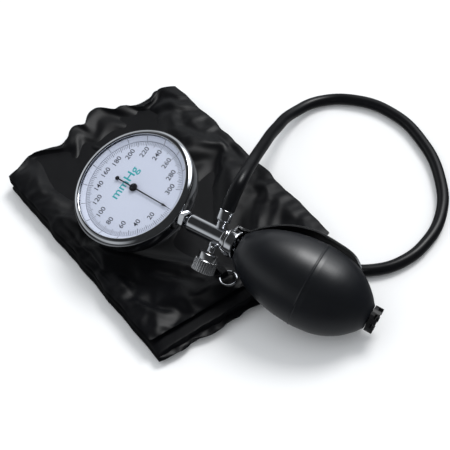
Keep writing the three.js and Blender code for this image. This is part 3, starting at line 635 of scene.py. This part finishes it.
HOSE_ROUTE = [
    (0.0358, -0.0403, 0.0619), (0.0401, -0.0360, 0.0656), (0.0482, -0.0188, 0.0615), (0.0587, 0.0110, 0.0465),
    (0.0715, 0.0487, 0.0245), (0.0870, 0.0776, 0.0085), (0.1056, 0.0883, 0.0042), (0.1295, 0.0828, 0.0042),
    (0.1505, 0.0645, 0.0042), (0.1646, 0.0320, 0.0042), (0.1681, -0.0026, 0.0042), (0.1620, -0.0328, 0.0042),
    (0.1474, -0.0543, 0.0042), (0.1296, -0.0661, 0.0042), (0.1130, -0.0684, 0.0042),
]


def build_hose():
    start = OUTLET @ Vector((16.9 * MM, 0, 0))
    angle = math.radians(-15 + 63.5)
    end = CUFF @ (Vector((95.5 + 9.3 * math.cos(angle), 46 + 9.3 * math.sin(angle), 4.8)) * MM)
    points = [start, *[Vector(p) for p in HOSE_ROUTE], end]
    curve = bpy.data.curves.new("air_hose", "CURVE")
    curve.dimensions = "3D"
    curve.bevel_depth = 3.8 * MM
    curve.bevel_resolution = 6
    curve.resolution_u = 16
    curve.use_fill_caps = True
    spline = curve.splines.new("BEZIER")
    spline.bezier_points.add(len(points) - 1)
    for point, place in zip(spline.bezier_points, points):
        point.co = place
        point.handle_left_type = point.handle_right_type = "AUTO"
        point.radius = 1.0 + 0.2 * max(0.0, 1 - (place - start).length / 0.03)
    curve.materials.append(HOSE_RUBBER)
    made = bpy.data.objects.new("air_hose", curve)
    bpy.context.collection.objects.link(made)
    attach(made, "monitor")
    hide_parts("hose")
    length = sum((b - a).length for a, b in zip(points, points[1:])) * 1.01
    return length


# ------------------------------------------------------------------ cuff

LAYER, GAP, HALF_LENGTH, HALF_WIDTH = 4.0, 1.6, 97.5, 68.0
PITCH = LAYER + GAP
HEM = HALF_LENGTH - 13


def fold_path(step):
    """Middle line of the band in the cuff's XZ plane, bottom layer first, with its normal."""
    bend = PITCH / 2
    reach = HALF_LENGTH - (PITCH + LAYER) / 2
    points = []

    def run(x0, x1, z, up):
        count = max(2, round(abs(x1 - x0) / step))
        for k in range(count):
            points.append((x0 + (x1 - x0) * k / count, z, 0.0, up))

    def turn(x, z, side, up):
        for k in range(7):
            angle = math.pi * k / 7
            points.append((x + side * bend * math.sin(angle), z - bend * math.cos(angle),
                           -up * side * -math.sin(angle), up * math.cos(angle)))

    run(-HALF_LENGTH + 3, reach, LAYER / 2, 1)
    turn(reach, LAYER / 2 + bend, 1, 1)
    run(reach, -reach, LAYER / 2 + PITCH, -1)
    turn(-reach, LAYER / 2 + PITCH + bend, -1, -1)
    run(-reach, HEM, LAYER / 2 + 2 * PITCH, 1)
    points.append((HEM, LAYER / 2 + 2 * PITCH, 0.0, 1))
    return points


def wander(x, y, scale, seed):
    return noise.noise(Vector((x / scale, y / scale, seed)))


# Loose folds at the far end: place across the width, reach, spread, in mm.
EDGE_LOBES = [(-43, 10, 13), (-10, 13, 10), (9, 19, 13), (26, 9, 7), (55, 5, 8)]


def lobes(x, y):
    """How far the loose folds at the -X end lie beyond the flat fold, in mm, fading towards the middle."""
    near = max(0.0, min(1.0, (50 - HALF_LENGTH - x) / 50))
    reach = max(height * math.exp(-(((y - middle) / width) ** 2)) for middle, height, width in EDGE_LOBES)
    return reach * near * near * (3 - 2 * near)


def puff(side):
    """Half thickness in mm at a place across the width: full inside, thin at the sewn edges."""
    return 0.35 + (LAYER / 2 - 0.35) * (1 - abs(side) ** 6) ** 0.5


def edge_waver(x, z, side):
    """How far the sewn edge strays sideways, in mm: gathers pull it in, more in the upper layers."""
    height = z / (2 * PITCH + LAYER)
    gather = 2.6 * wander(x, 40 * side, 17, 3.1) + 1.4 * wander(x, 40 * side, 7, 8.7)
    return (gather - 1.2) * (0.35 + 0.65 * height)


def band_mesh(step):
    """The folded band as one closed skin; returns it with the share of movement each point is allowed."""
    path = fold_path(step)
    columns = round(2 * HALF_WIDTH / step)
    made = bmesh.new()
    loose = made.verts.layers.float.new("loose")
    sides = []
    for sign in (1, -1):
        grid = []
        for i, (x, z, nx, nz) in enumerate(path):
            line = []
            for c in range(columns + 1):
                side = 2 * c / columns - 1
                half = puff(side)
                ends = min(i, len(path) - 1 - i)
                half *= min(1.0, 0.25 + 0.3 * ends)
                y = side * HALF_WIDTH + side * abs(side) ** 3 * edge_waver(x, z, side)
                at_fold = abs(nx)
                reach = half * sign
                out = 1.6 * at_fold * wander(40 * nx, y, 15, 5.5) * math.copysign(1, x)
                out -= lobes(x, y) * (0.55 + 0.45 * z / (2 * PITCH + LAYER))
                point = made.verts.new(((x + nx * reach + out) * MM, y * MM, (z + nz * reach) * MM))
                top = 1.0 if z + nz * reach > 2 * PITCH + LAYER / 2 else 0.0
                point[loose] = max(top, at_fold * 0.8) * (1 - abs(side) ** 8)
                line.append(point)
            grid.append(line)
        sides.append(grid)
    a, b = sides
    rows = len(path) - 1
    for r in range(rows):
        for c in range(columns):
            made.faces.new([a[r][c], a[r + 1][c], a[r + 1][c + 1], a[r][c + 1]])
            made.faces.new([b[r][c], b[r][c + 1], b[r + 1][c + 1], b[r + 1][c]])
        for c in (0, columns):
            made.faces.new([a[r][c], b[r][c], b[r + 1][c], a[r + 1][c]])
    for c in range(columns):
        for r in (0, rows):
            made.faces.new([a[r][c], a[r][c + 1], b[r][c + 1], b[r][c]])
    bmesh.ops.recalc_face_normals(made, faces=made.faces)
    mesh = bpy.data.meshes.new("cuff_skin")
    made.to_mesh(mesh)
    made.free()
    return mesh


def settle(mesh, frames):
    """Cloth with a little slack and air in it: the loose faces rumple, the sewn ones stay."""
    made = bpy.data.objects.new("cuff_sim", mesh)
    bpy.context.collection.objects.link(made)
    held = made.vertex_groups.new(name="held")
    free = mesh.attributes["loose"].data
    for i, item in enumerate(free):
        held.add([i], 1.0 - item.value * 0.985, "REPLACE")
    cloth = made.modifiers.new("cloth", "CLOTH")
    rules = cloth.settings
    rules.quality = 8
    rules.mass = 0.15
    rules.tension_stiffness = rules.compression_stiffness = 12
    rules.shear_stiffness = 6
    rules.bending_stiffness = 0.25
    rules.vertex_group_mass = "held"
    rules.pin_stiffness = 1.0
    rules.use_pressure = True
    rules.uniform_pressure_force = 1.0
    rules.shrink_min = -0.07
    rules.effector_weights.gravity = 0.0
    cloth.collision_settings.use_collision = False
    cloth.point_cache.frame_start, cloth.point_cache.frame_end = 1, frames
    scene = bpy.context.scene
    for now in range(1, frames + 1):
        scene.frame_set(now)
    graph = bpy.context.evaluated_depsgraph_get()
    result = bpy.data.meshes.new_from_object(made.evaluated_get(graph))
    bpy.data.objects.remove(made)
    scene.frame_set(1)
    return result


def build_cuff():
    skin = band_mesh(3.4)
    skin = settle(skin, 18)
    smoother = bpy.data.objects.new("cuff_smooth", skin)
    bpy.context.collection.objects.link(smoother)
    finer = smoother.modifiers.new("finer", "SUBSURF")
    finer.levels = finer.render_levels = 1
    bpy.context.view_layer.update()
    mesh = bpy.data.meshes.new_from_object(smoother.evaluated_get(bpy.context.evaluated_depsgraph_get()))
    bpy.data.objects.remove(smoother)
    mesh.transform(CUFF)
    shown = piece("cuff", mesh, "monitor", SATIN, ["cuff_band"], 80)


build_gauge()
build_dial_print()
build_valve()
build_spoon()
build_bulb()
hose_length = build_hose()
build_cuff()

# The CAD pieces that stay take their finish.
STAYING = {
    CHROME: ["stem_nut", "bulb_connector", "hang_ring"],
    BRASS: ["sector_gear", "movement_top_plate", "movement_bottom_plate", "movement_pillar_a",
            "movement_pillar_b", "movement_pillar_c", "capsule", "rocker_lug_a",
            "rocker_lug_b", "base_block", "release_spindle"],
    STEEL: ["pointer_arbor", "sector_arbor", "hairspring", "capsule_stud", "rocker_shaft", "plate_screw",
            "inlet_ball"],
    NEEDLE: ["pointer", "pointer_hub"],
    HOSE_RUBBER: ["lens_gasket", "release_o_ring", "outlet_ball", "bladder", "tube_sleeve"],
    PLASTIC: ["end_valve_body", "inlet_cover"],
    SATIN: ["ring_tab"],
    FLEECE: ["hook_strip", "loop_strip"],
}
for look, names in STAYING.items():
    for name in names:
        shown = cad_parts[name]
        shown.data.materials.clear()
        shown.data.materials.append(look)


# ------------------------------------------------------------------ studio


def build_studio():
    corners = [(-4, -4, -0.0002), (4, -4, -0.0002), (4, 4, -0.0002), (-4, 4, -0.0002)]
    floor = bpy.data.objects.new("floor", mesh_of(corners, [(0, 1, 2, 3)]))
    floor.data.materials.append(material("floor_pale", (0.93, 0.93, 0.93), 0.9, specular=0.1)[0])
    bpy.context.collection.objects.link(floor)
    floor.visible_glossy = False
    world = bpy.data.worlds.new("studio")
    bpy.context.scene.world = world
    world.use_nodes = True
    shader = Shader(world.node_tree)
    background = world.node_tree.nodes["Background"]
    direction = shader.node("ShaderNodeTexCoord").outputs["Generated"]
    x, y, z = shader.axes(direction)
    box = (0.52 * x + 0.42 * y + 0.74 * z).between(0.86, 0.95)
    back = y.between(0.25, 0.8) * (1.0 - z.between(0.3, 0.75)) * z.between(-0.1, 0.1)
    left = (-1.0 * x).between(0.5, 0.9) * (1.0 - z.between(0.3, 0.7)) * z.between(-0.1, 0.1)
    below = (-1.0 * z).between(0.2, 0.9)
    mirrored = 0.025 + 1.7 * box + 0.5 * back + 0.42 * left + 0.26 * below
    glossy = shader.signal(shader.node("ShaderNodeLightPath").outputs["Is Glossy Ray"])
    shader.feed(background.inputs["Strength"], glossy * mirrored + (1.0 - glossy) * 0.84)
    background.inputs["Color"].default_value = (0.94, 0.97, 1.0, 1.0)
    sun = bpy.data.lights.new("key", "SUN")
    sun.energy = 1.5
    sun.angle = math.radians(24)
    made = bpy.data.objects.new("key", sun)
    made.rotation_euler = Vector((0.5, 0.42, 1.0)).to_track_quat("Z", "Y").to_euler()
    bpy.context.collection.objects.link(made)


def build_camera():
    camera = bpy.data.cameras.new("camera")
    camera.lens = 124.8
    camera.sensor_width = 36
    camera.clip_start = 0.05
    made = bpy.data.objects.new("camera", camera)
    elevation, roll = math.radians(47), math.radians(10)
    up = Vector((0, math.sin(elevation), math.cos(elevation)))
    away = Vector((0, -math.cos(elevation), math.sin(elevation)))
    side = Vector((1, 0, 0))
    right = side * math.cos(roll) - up * math.sin(roll)
    top = side * math.sin(roll) + up * math.cos(roll)
    made.matrix_world = Matrix.Translation(Vector((0.0274, -0.0058, 0)) + away) @ Matrix(
        (right, top, away)).transposed().to_4x4()
    bpy.context.collection.objects.link(made)
    bpy.context.scene.camera = made


build_studio()
build_camera()
bpy.context.scene.view_settings.view_transform = "Standard"
